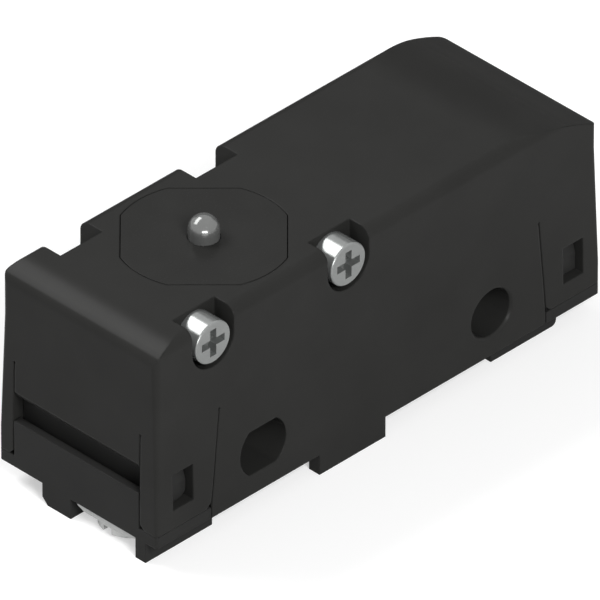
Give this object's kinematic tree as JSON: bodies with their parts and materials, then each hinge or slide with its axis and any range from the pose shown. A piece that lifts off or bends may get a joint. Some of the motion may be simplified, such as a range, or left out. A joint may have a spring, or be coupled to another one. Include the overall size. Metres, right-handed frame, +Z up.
{
  "type": "snap-action micro switch",
  "caption": "Basic micro switch: black moulded case with a steel pin plunger on top, cross holes for mounting, and screw terminals with clamp plates underneath.",
  "frame": {"origin": "centre of the body in plan, on the plane that the feet stand on", "axes": "+X along the body from the plunger end to the far end, +Y from the front side to the back, +Z up through the plunger"},
  "size_m": [0.0492, 0.0174, 0.0226],
  "materials": {
    "case_black": "black moulded phenolic, satin, faint mould texture",
    "cap_plastic": "red-brown moulded insulating plastic",
    "steel": "polished stainless steel",
    "spring_steel": "drawn spring steel wire",
    "zinc_steel": "zinc-plated steel, semi-bright",
    "plated_brass": "stamped brass with a pale plating",
    "brass": "plain turned and stamped brass",
    "spring_bronze": "rolled spring copper alloy strip",
    "contact_silver": "soft silver contact faces"
  },
  "bodies": {
    "root": {"housing": "case_black", "base": "case_black", "plunger_guide": "case_black", "return_spring": "spring_steel", "spring_retainer": "brass", "open_contact": "contact_silver", "closed_contact": "contact_silver", "blade_anchor": "brass", "common_terminal": "plated_brass", "open_terminal": "plated_brass", "closed_terminal": "plated_brass", "guide_screws": "zinc_steel", "thread_inserts": "brass"},
    "plunger": {"plunger_pin": "steel", "push_cap": "cap_plastic"},
    "tongue": {"tension_tongue": "spring_bronze"},
    "blade": {"snap_blade": "spring_bronze", "moving_contact": "contact_silver"},
    "common_clamp": {"common_clamp": "zinc_steel"},
    "common_screw": {"common_screw": "zinc_steel"},
    "open_clamp": {"open_clamp": "zinc_steel"},
    "open_screw": {"open_screw": "zinc_steel"},
    "closed_clamp": {"closed_clamp": "zinc_steel"},
    "closed_screw": {"closed_screw": "zinc_steel"}
  },
  "joints": [
    {"name": "plunger_press", "type": "slide", "parent": "root", "child": "plunger", "axis": [0, 0, -1], "range_m": [0, 0.0005], "stiffness_N_per_m": 1500, "springref_m": -0.001, "deforming": ["return_spring"]},
    {"name": "tongue_dip", "type": "hinge", "parent": "root", "child": "tongue", "pos_m": [-0.0182, 0, 0.01272], "axis": [0, 1, 0], "range_deg": [0, 3.85]},
    {"name": "blade_snap", "type": "hinge", "parent": "root", "child": "blade", "pos_m": [-0.015, 0, 0.01272], "axis": [0, 1, 0], "range_deg": [0, 1.43]},
    {"name": "common_clamp_drop", "type": "slide", "parent": "root", "child": "common_clamp", "axis": [0, 0, -1], "range_m": [0, 0.0012]},
    {"name": "common_screw_turn", "type": "hinge", "parent": "common_clamp", "child": "common_screw", "pos_m": [-0.0216, -0.0028, 0.0011], "axis": [0, 0, -1], "range_deg": [0, 866]},
    {"name": "open_clamp_drop", "type": "slide", "parent": "root", "child": "open_clamp", "axis": [0, 0, -1], "range_m": [0, 0.0012]},
    {"name": "open_screw_turn", "type": "hinge", "parent": "open_clamp", "child": "open_screw", "pos_m": [-0.003, -0.0028, 0.0011], "axis": [0, 0, -1], "range_deg": [0, 866]},
    {"name": "closed_clamp_drop", "type": "slide", "parent": "root", "child": "closed_clamp", "axis": [0, 0, -1], "range_m": [0, 0.0012]},
    {"name": "closed_screw_turn", "type": "hinge", "parent": "closed_clamp", "child": "closed_screw", "pos_m": [0.018, -0.0028, 0.0011], "axis": [0, 0, -1], "range_deg": [0, 866]}
  ],
  "couplings": [
    {"joint": "tongue_dip", "follows": "plunger_press", "rad_per_m": 133.16},
    {"joint": "blade_snap", "follows": "plunger_press", "rad_per_m": 49.18},
    {"joint": "common_screw_turn", "follows": "common_clamp_drop", "rad_per_m": 12566},
    {"joint": "open_screw_turn", "follows": "open_clamp_drop", "rad_per_m": 12566},
    {"joint": "closed_screw_turn", "follows": "closed_clamp_drop", "rad_per_m": 12566}
  ]
}
